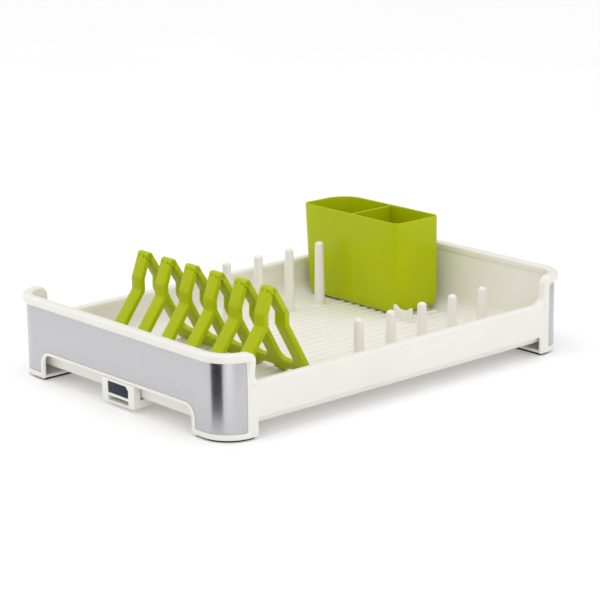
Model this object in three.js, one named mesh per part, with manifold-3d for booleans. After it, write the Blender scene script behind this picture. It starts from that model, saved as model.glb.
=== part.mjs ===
// Dish drying rack: a drip tray with two legged, steel-faced ends, a lift-out folding plate
// rack, a lift-out cutlery caddy and a pull-out drain plug over a spout.
// Millimetres, +Z up. +X runs along the rack towards the caddy end, +Y towards the back.
// The origin is on the table, under the middle of the rack.
import * as THREE from "three";
import { mergeVertices } from "three/addons/utils/BufferGeometryUtils.js";
import Module from "manifold-3d";

const wasm = await Module();
wasm.setup();

// ---- driving dimensions -------------------------------------------------------------------
const LENGTH = 472; // over the two end panels
const WIDTH = 340; // over the two long sides
const END_HEIGHT = 86.2; // table to the top of the end rims
const SIDE_HEIGHT = 55.6; // table to the top of the side rails
const SIDE_LOW = 20.9; // table to the lower edge of the side rails
const CORNER_RADIUS = 33; // outer corner of the frame, seen from above
const GAP = 0.3; // between pieces that touch
const WALL = 3; // moulded frame and tray walls

const RIM_LIP = 3; // rim beyond the end panel
const RIM_REACH = 7; // rim inwards from the end panel's face
const RIM_DEPTH = 8.2;
const RIM_ROUND = 2;
const WING_LENGTH = 38; // end frame wrapped along each long side
const WING_CORNER = 9;
const WING_FOOT_CURVE = 8; // hollow curve from the wing down to the side rail
const RAIL_START = 46; // from the end panel to the side rail's cut end
const RAIL_CAP = 9; // width of a side rail's top
const RAIL_LIP_DEPTH = 7.6;
const TRAY_WING_END = 36; // from the end panel to where the tray's wall drops to the rails

const LEG_LENGTH = 41; // along X
const LEG_WIDTH = 50; // along Y
const LEG_BOTTOM = 2.5;
const LEG_FLOOR = 3;
const ARCH_TOP = 28.6; // table to the top of the arch under each end
const ARCH_ROUND = 9;
const FOOT_INSET = 3;

const SKIN_THICK = 0.8;
const SKIN_RECESS = 0.4; // face of the steel below the frame's face
const SKIN_LENGTH = 28; // along each long side, from the end panel
const SKIN_BOTTOM = 8.6;
const SKIN_ARCH_TRIM = 3.8; // frame left bare above the arch
const SKIN_LEG_TRIM = 5.5; // frame left bare beside the arch
const SKIN_ARCH_ROUND = 14;
const SKIN_CORNER = 4;

const TRAY_BOTTOM = 13; // table to the underside of the drip tray
const TRAY_END_FOOT = 10; // end panel to the tray's end wall, at the tray's underside
const TRAY_END_HEAD = 4; // the same under the rim
const TRAY_SIDE = 6; // side face to the tray's side wall
const RIB_HEIGHT = 2;
const RIB_WIDTH = 5;
const RIB_PITCH = 12.5;
const RIB_MARGIN = 73; // side face to the first rib
const RIB_END = 30; // end panel to the rib ends

const PEG_PITCH = 44.8;
const PEG_ROW_INSET = 66; // side face to a row of pegs
const PEG_FIRST = 231; // near end panel to the first peg
const PEG_END_CLEARANCE = 60; // last peg to the far end panel
const PEG_TALL = 88.5; // table to the top of a back peg
const PEG_SHORT = 67.5; // table to the top of a front peg
const PEG_TOP_RADIUS = 4.2;
const PEG_FOOT_RADIUS = 6.1;
const PEG_STUD_RADIUS = 2.7;

const STOP_LENGTH = 28; // caddy stop rib, along Y
const STOP_HEIGHT = 17;
const STOP_DIP = 5;
const STOP_THICK = 2.5;
const STOP_OVERLAP = 4; // end of the rib past the caddy's end face

const CADDY_LENGTH = 154; // along Y
const CADDY_DEPTH = 66; // along X, over the rim
const CADDY_TOP = 122.7; // table to the caddy's rim
const CADDY_END_GAP = 23; // caddy to the far end panel's face
const CADDY_BACK_GAP = 18.5; // caddy to the back side's face
const CADDY_WALL = 2.2;
const CADDY_LEAN = 6; // the side that faces the plates leans out by this at the rim
const CADDY_TOE = 0.2; // share of the heel's rounding on the leaning side
const CADDY_CORNER = 5;
const CADDY_BIG_CORNER = 28; // the corner that follows the tray's corner
const CADDY_HEEL = 9; // rounding round the caddy's bottom
const CADDY_HOLE_RADIUS = 3;

const FRAME_COUNT = 6; // A-frames of the plate rack
const FRAME_PITCH = 39.1;
const STRAP_WIDTH = 16; // along Y
const STRAP_THICK = 5.8;
const STRAP_ROUND = 7; // outside of a bend
const HINGE_FROM_END = 117; // near end panel to the plate rack's hinge line
const HINGE_HEIGHT = 117;
const KNUCKLE_RADIUS = 4;
const KNUCKLE_WIDTH = 5.5; // each of a strap's two outer knuckles
const FOLD_ROOM = 16; // degrees from upright kept clear under the hinge, for folding
const PIN_RADIUS = 1.3;
const PIN_PLAY = 0.3;
const BAR_LOW = 6.5; // crossbar that joins the feet of a comb, above the foot's end
const BAR_HIGH = 15.6;
// Outside of a leg: [away from the hinge line, above the table] at its two bends, and how far
// from the hinge line its foot stands.
const COMBS = {
  left: { side: -1, bends: [[12.8, 94.5], [12.6, 82.5]], spread: 61.5 },
  right: { side: 1, bends: [[20.3, 92], [19.8, 80]], spread: 54 },
};

const SPOUT_Y = -5.5; // middle of the drain spout
const SPOUT_WIDTH = 52;
const SPOUT_BOTTOM = 4;
const SPOUT_FRONT = 8; // depth of the tall front part
const SPOUT_LENGTH = 72;
const SPOUT_WALL = 1.8;
const WINDOW_WIDTH = 33;
const WINDOW_LOW = 13.5;
const WINDOW_HIGH = 25.5;
const WINDOW_CHAMFER = 4;
const OUTLET_HEIGHT = 5;
const PLUG_DEPTH = 6;
const SEAL_THICK = 1.2;
const DRAIN_HIGH = 23; // top of the drain hole in the tray's end wall
const SCREW_RADIUS = 1.5;
const SCREW_HEAD_RADIUS = 3;
const SCREW_HEAD_DEPTH = 2.2;

const ARC_STEPS = 10; // facets in a quarter turn of a large corner
const SMALL_ARC_STEPS = 4;

// ---- derived places -----------------------------------------------------------------------
const HALF_LENGTH = LENGTH / 2;
const HALF_WIDTH = WIDTH / 2;
const RIM_LOW = END_HEIGHT - RIM_DEPTH;
const TRAY_FLOOR = TRAY_BOTTOM + WALL;
const RIB_TOP = TRAY_FLOOR + RIB_HEIGHT;
const STAND = RIB_TOP + GAP; // lowest point of what stands on the ribs
const LEG_INNER_Y = HALF_WIDTH - LEG_WIDTH;
const RAIL_LIP_LOW = SIDE_HEIGHT - RAIL_LIP_DEPTH;
const HINGE_X = -HALF_LENGTH + HINGE_FROM_END;
const CADDY_X1 = HALF_LENGTH - CADDY_END_GAP;
const CADDY_X0 = CADDY_X1 - CADDY_DEPTH;
const CADDY_Y1 = HALF_WIDTH - CADDY_BACK_GAP;
const CADDY_Y0 = CADDY_Y1 - CADDY_LENGTH;
const FAR = 2 * (LENGTH + WIDTH); // longer than anything here, for cutting tools

// ---- materials ----------------------------------------------------------------------------
const finish = (color, roughness, metalness) =>
  new THREE.MeshStandardMaterial({ color, roughness, metalness });
const IVORY = () => finish(0xece8dc, 0.35, 0);
const LIME = () => finish(0xa3b512, 0.25, 0);
const STEEL = () => finish(0xc2c2c6, 0.35, 1);
const RUBBER = () => finish(0x1b1b1c, 0.9, 0);
const SLATE = () => finish(0x34404a, 0.5, 0);

// ---- outlines -----------------------------------------------------------------------------
// A closed outline from corners [x, y, radius]. A radius rounds the corner, inwards or outwards.
function outline(corners, steps = SMALL_ARC_STEPS) {
  const points = [];
  corners.forEach(([x, y, radius], i) => {
    const corner = new THREE.Vector2(x, y);
    if (!radius) {
      points.push(corner);
      return;
    }
    const [px, py] = corners[(i + corners.length - 1) % corners.length];
    const [nx, ny] = corners[(i + 1) % corners.length];
    const back = new THREE.Vector2(px, py).sub(corner).normalize();
    const ahead = new THREE.Vector2(nx, ny).sub(corner).normalize();
    const half = Math.acos(THREE.MathUtils.clamp(back.dot(ahead), -1, 1)) / 2;
    const reach = radius / Math.tan(half);
    const middle = back.clone().add(ahead).normalize();
    const centre = corner.clone().addScaledVector(middle, radius / Math.sin(half));
    const start = corner.clone().addScaledVector(back, reach).sub(centre);
    const end = corner.clone().addScaledVector(ahead, reach).sub(centre);
    const turn = Math.atan2(start.cross(end), start.dot(end));
    for (let k = 0; k <= steps; k += 1) {
      const spoke = start.clone().rotateAround(new THREE.Vector2(), (turn * k) / steps);
      points.push(spoke.add(centre));
    }
  });
  return points;
}

// The frame's plan, moved inwards by endInset at the two ends and sideInset at the two sides.
function plan(endInset, sideInset = endInset) {
  const x = HALF_LENGTH - endInset;
  const y = HALF_WIDTH - sideInset;
  const r = CORNER_RADIUS - Math.max(endInset, sideInset);
  return outline([[-x, -y, r], [x, -y, r], [x, y, r], [-x, y, r]], ARC_STEPS);
}

const rectangle = (x0, x1, y0, y1) => outline([[x0, y0], [x1, y0], [x1, y1], [x0, y1]]);

// ---- solids -------------------------------------------------------------------------------
// A closed solid for joining and cutting, with its shared corners merged.
function solid(geometry) {
  const bare = geometry.clone();
  bare.deleteAttribute("normal");
  bare.deleteAttribute("uv");
  const merged = mergeVertices(bare, 1e-4);
  const index = Array.from(merged.index.array);
  const kept = [];
  for (let i = 0; i < index.length; i += 3) {
    const [a, b, c] = index.slice(i, i + 3);
    if (a !== b && b !== c && c !== a) kept.push(a, b, c);
  }
  const vertProperties = new Float32Array(merged.attributes.position.array);
  const mesh = new wasm.Mesh({ numProp: 3, vertProperties, triVerts: new Uint32Array(kept) });
  return new wasm.Manifold(mesh);
}

function extruded(points, depth, options = {}) {
  const settings = { depth, bevelEnabled: false, ...options };
  return new THREE.ExtrudeGeometry(new THREE.Shape(points), settings);
}

// Prisms: an (x, y) outline between two heights, a (y, z) outline along X, an (x, z) outline
// along Y.
function prismZ(points, z0, z1) {
  return solid(extruded(points, z1 - z0).translate(0, 0, z0));
}

function prismX(points, x0, x1) {
  const axes = new THREE.Matrix4().makeBasis(
    new THREE.Vector3(0, 1, 0),
    new THREE.Vector3(0, 0, 1),
    new THREE.Vector3(1, 0, 0),
  );
  return solid(extruded(points, x1 - x0).applyMatrix4(axes).translate(x0, 0, 0));
}

function prismY(points, y0, y1) {
  const axes = new THREE.Matrix4().makeBasis(
    new THREE.Vector3(1, 0, 0),
    new THREE.Vector3(0, 0, 1),
    new THREE.Vector3(0, -1, 0),
  );
  return solid(extruded(points, y1 - y0).applyMatrix4(axes).translate(0, y1, 0));
}

const box = (x0, x1, y0, y1, z0, z1) => prismZ(rectangle(x0, x1, y0, y1), z0, z1);

// A solid through convex sections [outline, z] that all have the same number of points.
function loft(sections) {
  const count = sections[0][0].length;
  const positions = sections.flatMap(([points, z]) => points.flatMap((p) => [p.x, p.y, z]));
  const index = [];
  for (let s = 0; s + 1 < sections.length; s += 1) {
    for (let i = 0; i < count; i += 1) {
      const a = s * count + i;
      const b = s * count + ((i + 1) % count);
      index.push(a, b, b + count, a, b + count, a + count);
    }
  }
  const last = (sections.length - 1) * count;
  for (let i = 1; i + 1 < count; i += 1) {
    index.push(0, i + 1, i, last, last + i, last + i + 1);
  }
  const geometry = new THREE.BufferGeometry();
  geometry.setAttribute("position", new THREE.Float32BufferAttribute(positions, 3));
  geometry.setIndex(index);
  return solid(geometry);
}

function rod(radius, x, y, z0, z1, segments = 12) {
  const geometry = new THREE.CylinderGeometry(radius, radius, z1 - z0, segments);
  return solid(geometry.rotateX(Math.PI / 2).translate(x, y, (z0 + z1) / 2));
}

function rodY(radius, x, z, y0, y1, segments = 14) {
  const geometry = new THREE.CylinderGeometry(radius, radius, y1 - y0, segments);
  return solid(geometry.translate(x, (y0 + y1) / 2, z));
}

const joined = (pieces) => pieces.reduce((all, piece) => all.add(piece));

function piece(name, shape, material) {
  const { vertProperties, triVerts } = shape.getMesh();
  const geometry = new THREE.BufferGeometry();
  geometry.setAttribute("position", new THREE.BufferAttribute(new Float32Array(vertProperties), 3));
  geometry.setIndex(new THREE.BufferAttribute(new Uint32Array(triVerts), 1));
  geometry.computeVertexNormals();
  const mesh = new THREE.Mesh(geometry, material);
  mesh.name = name;
  return mesh;
}

// ---- frame --------------------------------------------------------------------------------
// X at a distance inwards from an end panel: end is -1 at the near end and +1 at the far one.
const fromEnd = (end, inwards) => end * (HALF_LENGTH - inwards);

// Section (y, z) of a side rail, a channel open below: side is -1 in front and +1 at the back.
function railSection(side) {
  const y = (inwards) => side * (HALF_WIDTH - inwards);
  return outline([
    [y(0), SIDE_LOW],
    [y(WALL), SIDE_LOW],
    [y(WALL), SIDE_HEIGHT - WALL],
    [y(TRAY_SIDE), SIDE_HEIGHT - WALL],
    [y(TRAY_SIDE), RAIL_LIP_LOW],
    [y(RAIL_CAP), RAIL_LIP_LOW],
    [y(RAIL_CAP), SIDE_HEIGHT, 1.5],
    [y(0), SIDE_HEIGHT, 1.5],
  ]);
}

// An end frame seen from the long side: panel, rim, the two wings and their drop to the rails.
function frameElevation(end) {
  const x = (inwards) => fromEnd(end, inwards);
  return outline([
    [x(-RIM_LIP - WALL), LEG_BOTTOM],
    [x(LEG_LENGTH), LEG_BOTTOM, 2],
    [x(LEG_LENGTH), SIDE_LOW],
    [x(RAIL_START), SIDE_LOW],
    [x(RAIL_START), SIDE_HEIGHT],
    [x(WING_LENGTH), SIDE_HEIGHT, WING_FOOT_CURVE],
    [x(WING_LENGTH), END_HEIGHT, WING_CORNER],
    [x(-RIM_LIP - WALL), END_HEIGHT],
  ]);
}

// The rounded rim as one ring over the whole plan; each end frame keeps its own part.
function rimRing() {
  const shape = new THREE.Shape(plan(RIM_ROUND - RIM_LIP));
  shape.holes.push(new THREE.Path(plan(RIM_REACH - RIM_ROUND).reverse()));
  const depth = RIM_DEPTH - 2 * RIM_ROUND;
  const bevel = { bevelEnabled: true, bevelThickness: RIM_ROUND, bevelSize: RIM_ROUND };
  const geometry = new THREE.ExtrudeGeometry(shape, { depth, bevelSegments: 2, ...bevel });
  return solid(geometry.translate(0, 0, RIM_LOW + RIM_ROUND));
}

const archOutline = () =>
  outline([
    [-LEG_INNER_Y, -ARCH_TOP],
    [LEG_INNER_Y, -ARCH_TOP],
    [LEG_INNER_Y, ARCH_TOP, ARCH_ROUND],
    [-LEG_INNER_Y, ARCH_TOP, ARCH_ROUND],
  ]);

// What the steel skin covers, grown by a margin on every edge. It is the overlap of the skin
// seen from the end and the skin seen from the side.
function skinCover(end, margin) {
  const arch = LEG_INNER_Y + SKIN_LEG_TRIM - margin;
  const archTop = ARCH_TOP + SKIN_ARCH_TRIM - margin;
  const low = SKIN_BOTTOM - margin;
  const high = RIM_LOW - GAP + margin;
  const fromFront = outline([
    [-WIDTH, low],
    [-arch, low],
    [-arch, archTop, SKIN_ARCH_ROUND],
    [arch, archTop, SKIN_ARCH_ROUND],
    [arch, low],
    [WIDTH, low],
    [WIDTH, high],
    [-WIDTH, high],
  ]);
  const inner = fromEnd(end, SKIN_LENGTH + margin);
  const outer = fromEnd(end, -RIM_LIP);
  const fromSide = outline([
    [outer, low],
    [inner, low, 2],
    [inner, high, SKIN_CORNER],
    [outer, high],
  ]);
  const seenFromFront = prismX(fromFront, -HALF_LENGTH - WALL, HALF_LENGTH + WALL);
  return seenFromFront.intersect(prismY(fromSide, -WIDTH, WIDTH));
}

function ring(outerInset, innerInset, z0, z1) {
  return prismZ(plan(outerInset), z0, z1).subtract(prismZ(plan(innerInset), z0 - 1, z1 + 1));
}

function endSkin(end) {
  const shell = ring(SKIN_RECESS, SKIN_RECESS + SKIN_THICK, SKIN_BOTTOM, RIM_LOW);
  return shell.intersect(skinCover(end, 0));
}

// A leg's return walls and floor, hollow from above, in the frame's corner.
function leg(end, side) {
  const block = (xIn, yIn, z0, z1) => {
    const xs = [fromEnd(end, -1), fromEnd(end, xIn)].sort((a, b) => a - b);
    const ys = [side * (HALF_WIDTH + 1), side * yIn].sort((a, b) => a - b);
    return box(...xs, ...ys, z0, z1);
  };
  const top = TRAY_BOTTOM - GAP;
  const full = prismZ(plan(0), LEG_BOTTOM, top).intersect(
    block(LEG_LENGTH, LEG_INNER_Y, LEG_BOTTOM - 1, top + 1),
  );
  const hollow = prismZ(plan(WALL), LEG_BOTTOM + LEG_FLOOR, top + 2).intersect(
    block(LEG_LENGTH - WALL, LEG_INNER_Y + WALL, LEG_BOTTOM, top + 1),
  );
  return full.subtract(hollow);
}

// The short return wall beside the arch, from the panel's back to just short of the tray.
function archCheek(end, side) {
  const reach = TRAY_END_FOOT - 2;
  const xs = [fromEnd(end, 0), fromEnd(end, reach)].sort((a, b) => a - b);
  const ys = [side * LEG_INNER_Y, side * (LEG_INNER_Y + WALL)].sort((a, b) => a - b);
  return box(...xs, ...ys, LEG_BOTTOM + 2, ARCH_TOP - ARCH_ROUND);
}

function endFrame(end) {
  const xs = [fromEnd(end, -RIM_LIP - 1), fromEnd(end, RAIL_START)].sort((a, b) => a - b);
  const panel = ring(0, WALL, LEG_BOTTOM, RIM_LOW + 1);
  const archX = [fromEnd(end, -RIM_LIP), fromEnd(end, WALL + 1)].sort((a, b) => a - b);
  const arch = prismX(archOutline(), ...archX);
  const railX = [fromEnd(end, TRAY_WING_END + GAP), fromEnd(end, RAIL_START)].sort((a, b) => a - b);
  const shell = panel.add(rimRing()).subtract(arch);
  const kept = prismY(frameElevation(end), -FAR, FAR);
  const parts = [shell.intersect(box(...xs, -FAR, FAR, 0, FAR)).intersect(kept)];
  [-1, 1].forEach((side) => {
    parts.push(prismX(railSection(side), ...railX));
    parts.push(leg(end, side));
    parts.push(archCheek(end, side));
  });
  const pocket = ring(-1, SKIN_RECESS + SKIN_THICK + GAP, 0, RIM_LOW).intersect(
    skinCover(end, GAP),
  );
  return joined(parts).subtract(pocket);
}

function foot(end, side) {
  const xs = [fromEnd(end, 0), fromEnd(end, LEG_LENGTH - FOOT_INSET)].sort((a, b) => a - b);
  const ys = [side * HALF_WIDTH, side * (LEG_INNER_Y + FOOT_INSET)].sort((a, b) => a - b);
  const pad = prismZ(plan(FOOT_INSET), 0, LEG_BOTTOM - GAP);
  return pad.intersect(box(...xs, ...ys, -1, LEG_BOTTOM));
}

function sideRail(side) {
  const reach = HALF_LENGTH - RAIL_START - GAP;
  return prismX(railSection(side), -reach, reach);
}

// ---- drip tray ----------------------------------------------------------------------------
// Places of the pegs: an equal pitch in both rows, as far as the far end and the caddy allow.
function pegPlaces() {
  const places = [];
  const first = -HALF_LENGTH + PEG_FIRST;
  const lastFront = HALF_LENGTH - PEG_END_CLEARANCE;
  const lastBack = CADDY_X0 - PEG_FOOT_RADIUS - 2;
  for (let n = 0; first + n * PEG_PITCH <= lastFront; n += 1) {
    const x = first + n * PEG_PITCH;
    places.push({ name: `peg_front_${n + 1}`, x, y: PEG_ROW_INSET - HALF_WIDTH, top: PEG_SHORT });
  }
  for (let n = 0; first + n * PEG_PITCH <= lastBack; n += 1) {
    const x = first + n * PEG_PITCH;
    places.push({ name: `peg_back_${n + 1}`, x, y: HALF_WIDTH - PEG_ROW_INSET, top: PEG_TALL });
  }
  return places;
}

// A peg with a domed top, and a stud that presses into the tray's floor.
function peg({ x, y, top }) {
  const low = TRAY_FLOOR + GAP;
  const dome = PEG_TOP_RADIUS * 0.8;
  const profile = [
    new THREE.Vector2(0, TRAY_BOTTOM + 0.5),
    new THREE.Vector2(PEG_STUD_RADIUS, TRAY_BOTTOM + 0.5),
    new THREE.Vector2(PEG_STUD_RADIUS, low),
    new THREE.Vector2(PEG_FOOT_RADIUS, low),
    new THREE.Vector2(PEG_TOP_RADIUS, top - dome),
  ];
  for (let k = 1; k <= 3; k += 1) {
    const angle = (k * Math.PI) / 6;
    const radius = k === 3 ? 0 : PEG_TOP_RADIUS * Math.cos(angle);
    profile.push(new THREE.Vector2(radius, top - dome + dome * Math.sin(angle)));
  }
  const geometry = new THREE.LatheGeometry(profile, 16);
  return solid(geometry.rotateX(Math.PI / 2).translate(x, y, 0));
}

// Low rib that keeps the caddy in its corner, with a hollow top.
function caddyStop() {
  const y1 = CADDY_Y0 + STOP_OVERLAP;
  const y0 = y1 - STOP_LENGTH;
  const top = TRAY_FLOOR + STOP_HEIGHT;
  const third = STOP_LENGTH / 4;
  const section = outline([
    [y0, TRAY_FLOOR - 1],
    [y1, TRAY_FLOOR - 1],
    [y1, top],
    [y1 - third, top - STOP_DIP, third / 2],
    [y0 + third, top - STOP_DIP, third / 2],
    [y0, top],
  ]);
  const x = CADDY_X0 + CADDY_LEAN - 3 * STOP_THICK;
  return prismX(section, x, x + STOP_THICK);
}

function rib(y) {
  const half = RIB_WIDTH / 2;
  const section = outline([
    [y - half, TRAY_FLOOR - 1],
    [y + half, TRAY_FLOOR - 1],
    [y + half, TRAY_FLOOR],
    [y + half / 2, RIB_TOP],
    [y - half / 2, RIB_TOP],
    [y - half, TRAY_FLOOR],
  ]);
  return prismX(section, RIB_END - HALF_LENGTH, HALF_LENGTH - RIB_END);
}

function dripTray() {
  const rimFit = RIM_LOW - GAP;
  const outside = loft([
    [plan(TRAY_END_FOOT, TRAY_SIDE), TRAY_BOTTOM],
    [plan(TRAY_END_HEAD, TRAY_SIDE), rimFit],
  ]);
  const inside = loft([
    [plan(TRAY_END_FOOT + WALL, TRAY_SIDE + WALL), TRAY_FLOOR],
    [plan(TRAY_END_HEAD + WALL, TRAY_SIDE + WALL), rimFit],
    [plan(TRAY_END_HEAD + WALL, TRAY_SIDE + WALL), rimFit + 1],
  ]);
  const lowX = HALF_LENGTH - TRAY_WING_END;
  const aboveRails = box(-lowX, lowX, -FAR, FAR, RAIL_LIP_LOW - GAP, FAR);
  const parts = [outside.subtract(inside).subtract(aboveRails), caddyStop()];
  const ribSpan = WIDTH - 2 * RIB_MARGIN;
  const ribCount = Math.floor(ribSpan / RIB_PITCH) + 1;
  for (let n = 0; n < ribCount; n += 1) {
    parts.push(rib((n - (ribCount - 1) / 2) * RIB_PITCH));
  }
  let tray = joined(parts);
  pegPlaces().forEach(({ x, y }) => {
    tray = tray.subtract(rod(PEG_STUD_RADIUS + GAP, x, y, TRAY_BOTTOM - 1, TRAY_FLOOR + 1));
  });
  const drainHalf = WINDOW_WIDTH / 2 - WALL;
  const drain = box(
    -HALF_LENGTH,
    -HALF_LENGTH + TRAY_END_FOOT + 2 * WALL,
    SPOUT_Y - drainHalf,
    SPOUT_Y + drainHalf,
    TRAY_FLOOR,
    DRAIN_HIGH,
  );
  tray = tray.subtract(drain);
  screwPlaces().forEach(([x, y]) => {
    const hole = rod(SCREW_RADIUS + GAP, x, y, TRAY_BOTTOM - 1, TRAY_FLOOR - 0.6);
    tray = tray.subtract(hole);
  });
  return tray;
}

// ---- drain spout --------------------------------------------------------------------------
const screwPlaces = () => {
  const x = -HALF_LENGTH + SPOUT_LENGTH - 2 * SCREW_HEAD_RADIUS;
  const y = (SPOUT_WIDTH + WINDOW_WIDTH) / 4;
  return [[x, SPOUT_Y - y], [x, SPOUT_Y + y]];
};

// Window seen from the end, with one upper corner cut off, shrunk by a margin.
function windowOutline(margin) {
  const y = WINDOW_WIDTH / 2 - margin;
  const low = WINDOW_LOW + margin;
  const high = WINDOW_HIGH - margin;
  return outline([
    [SPOUT_Y - y, low],
    [SPOUT_Y + y, low],
    [SPOUT_Y + y, high],
    [SPOUT_Y - y + WINDOW_CHAMFER, high],
    [SPOUT_Y - y, high - WINDOW_CHAMFER],
  ]);
}

function spoutHousing() {
  const x0 = -HALF_LENGTH;
  const x1 = x0 + SPOUT_LENGTH;
  const half = SPOUT_WIDTH / 2;
  const front = outline([
    [SPOUT_Y - half, SPOUT_BOTTOM, 2],
    [SPOUT_Y + half, SPOUT_BOTTOM, 4],
    [SPOUT_Y + half, ARCH_TOP - GAP],
    [SPOUT_Y - half, ARCH_TOP - GAP],
  ]);
  const trough = outline([
    [SPOUT_Y - half, SPOUT_BOTTOM, 2],
    [SPOUT_Y + half, SPOUT_BOTTOM, 4],
    [SPOUT_Y + half, TRAY_BOTTOM - GAP],
    [SPOUT_Y - half, TRAY_BOTTOM - GAP],
  ]);
  const throat = WINDOW_WIDTH / 2;
  const floor = SPOUT_BOTTOM + SPOUT_WALL;
  const body = prismX(front, x0, x0 + SPOUT_FRONT).add(prismX(trough, x0, x1));
  const window = prismX(windowOutline(0), x0 - 1, x0 + SPOUT_FRONT + 1);
  const ys = [SPOUT_Y - throat, SPOUT_Y + throat];
  const outlet = box(x0 - 1, x1 - SPOUT_WALL, ...ys, floor, floor + OUTLET_HEIGHT);
  const drop = box(x0 + SPOUT_FRONT / 2, x0 + SPOUT_FRONT + 1, ...ys, floor, WINDOW_LOW + 1);
  let housing = body.subtract(window).subtract(outlet).subtract(drop);
  screwPlaces().forEach(([x, y]) => {
    const shaft = rod(SCREW_RADIUS + GAP, x, y, 0, TRAY_BOTTOM);
    const seat = rod(SCREW_HEAD_RADIUS + GAP, x, y, 0, SPOUT_BOTTOM + SCREW_HEAD_DEPTH + 2 * GAP);
    housing = housing.subtract(shaft).subtract(seat);
  });
  return housing;
}

const drainPlug = () => {
  const x0 = -HALF_LENGTH + GAP;
  return prismX(windowOutline(GAP), x0, x0 + PLUG_DEPTH);
};

const plugSeal = () => {
  const x0 = -HALF_LENGTH + PLUG_DEPTH + 2 * GAP;
  return prismX(windowOutline(1.5), x0, x0 + SEAL_THICK);
};

function spoutScrew([x, y]) {
  const low = SPOUT_BOTTOM + GAP;
  const shoulder = low + SCREW_HEAD_DEPTH;
  const head = rod(SCREW_HEAD_RADIUS, x, y, low, shoulder, 14);
  return head.add(rod(SCREW_RADIUS, x, y, shoulder - 1, TRAY_FLOOR - 1));
}

// ---- cutlery caddy ------------------------------------------------------------------------
// The caddy's outline at a height, with a wall taken off and its bottom edges drawn in by heel.
function caddyPlan(z, wall, heel) {
  const lean = (CADDY_LEAN * (CADDY_TOP - z)) / (CADDY_TOP - STAND);
  const x0 = CADDY_X0 + wall + lean + CADDY_TOE * heel;
  const x1 = CADDY_X1 - wall - heel;
  const y0 = CADDY_Y0 + wall + heel;
  const y1 = CADDY_Y1 - wall - heel;
  const small = Math.max(CADDY_CORNER - wall - heel, 1);
  const big = CADDY_BIG_CORNER - wall - heel;
  return outline([[x0, y0, small], [x1, y0, small], [x1, y1, big], [x0, y1, small]]);
}

// The caddy's outside, or its inside when a wall is given, with a rounded heel.
function caddySolid(wall, top) {
  const radius = CADDY_HEEL - wall;
  const sections = [0, 1, 2, 3].map((k) => {
    const angle = (k * Math.PI) / 6;
    const z = STAND + wall + radius * (1 - Math.cos(angle));
    return [caddyPlan(z, wall, radius * (1 - Math.sin(angle))), z];
  });
  return loft([...sections, [caddyPlan(CADDY_TOP, wall, 0), top]]);
}

function caddy() {
  const middle = (CADDY_Y0 + CADDY_Y1) / 2;
  const floorX = (CADDY_X0 + CADDY_LEAN + CADDY_X1) / 2;
  const outside = caddySolid(0, CADDY_TOP);
  const inside = caddySolid(CADDY_WALL, CADDY_TOP + 1);
  const half = CADDY_WALL / 2;
  const divider = box(CADDY_X0, CADDY_X1, middle - half, middle + half, 0, CADDY_TOP - 1);
  let body = outside.subtract(inside).add(divider.intersect(outside));
  const holeX = CADDY_DEPTH / 6;
  const holeY = CADDY_LENGTH / 8;
  [-1, 1].forEach((sx) => {
    [-3, -1, 1, 3].forEach((sy) => {
      const x = floorX + sx * holeX;
      body = body.subtract(rod(CADDY_HOLE_RADIUS, x, middle + sy * holeY, 0, STAND + WALL + 2));
    });
  });
  return body;
}

// ---- plate rack ---------------------------------------------------------------------------
// A comb's leg seen from the front, as an outer and an inner line of the same thickness.
function strapSection({ side, bends, spread }) {
  const line = [[0, HINGE_HEIGHT], ...bends, [spread, STAND]];
  const points = line.map(([x, z]) => new THREE.Vector2(x, z));
  const rays = points.slice(1).map((point, i) => point.clone().sub(points[i]).normalize());
  const inwards = ({ x, y }) => new THREE.Vector2(y, -x).multiplyScalar(STRAP_THICK);
  const [top, upper, lower] = rays;
  const inner = [
    [points[1], top, upper],
    [points[2], upper, lower],
  ].map(([point, before, after]) => {
    const [a, b] = [inwards(before), inwards(after)];
    const middle = a.clone().add(b).multiplyScalar(0.5);
    return point.clone().addScaledVector(middle, STRAP_THICK ** 2 / middle.lengthSq());
  });
  const footWidth = STRAP_THICK / Math.abs(lower.y);
  const shoulder = KNUCKLE_RADIUS / Math.abs(top.y);
  const corners = [
    [shoulder, HINGE_HEIGHT],
    [bends[0][0], bends[0][1], STRAP_ROUND],
    [bends[1][0], bends[1][1], STRAP_ROUND],
    [spread, STAND],
    [spread - footWidth, STAND],
    [inner[1].x, inner[1].y, STRAP_ROUND],
    [inner[0].x, inner[0].y, STRAP_ROUND],
    [shoulder - STRAP_THICK / Math.abs(top.y), HINGE_HEIGHT],
  ];
  return outline(corners.map(([x, z, r]) => [HINGE_X + side * x, z, r]), 2);
}

// Wedge of room that one comb leaves the other under the hinge, so that the two can fold.
function foldRoom({ side }, y0, y1) {
  const drop = 4 * KNUCKLE_RADIUS;
  const reach = drop * Math.tan(THREE.MathUtils.degToRad(FOLD_ROOM));
  const corners = [
    [0, HINGE_HEIGHT],
    [reach, HINGE_HEIGHT - drop],
    [-2 * KNUCKLE_RADIUS, HINGE_HEIGHT - drop],
    [-2 * KNUCKLE_RADIUS, HINGE_HEIGHT],
  ];
  return prismY(outline(corners.map(([x, z]) => [HINGE_X + side * x, z])), y0, y1);
}

// Crossbar along the feet of one comb, with the lean of the legs.
function crossbar({ side, bends, spread }, y0, y1) {
  const [bendX, bendZ] = bends[1];
  const lean = (spread - bendX) / (bendZ - STAND);
  const thick = STRAP_THICK * Math.hypot(1, lean);
  const corners = [
    [spread - lean * BAR_LOW, STAND + BAR_LOW],
    [spread - lean * BAR_HIGH, STAND + BAR_HIGH],
    [spread - lean * BAR_HIGH - thick, STAND + BAR_HIGH],
    [spread - lean * BAR_LOW - thick, STAND + BAR_LOW],
  ];
  return prismY(outline(corners.map(([x, z]) => [HINGE_X + side * x, z])), y0, y1);
}

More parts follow.
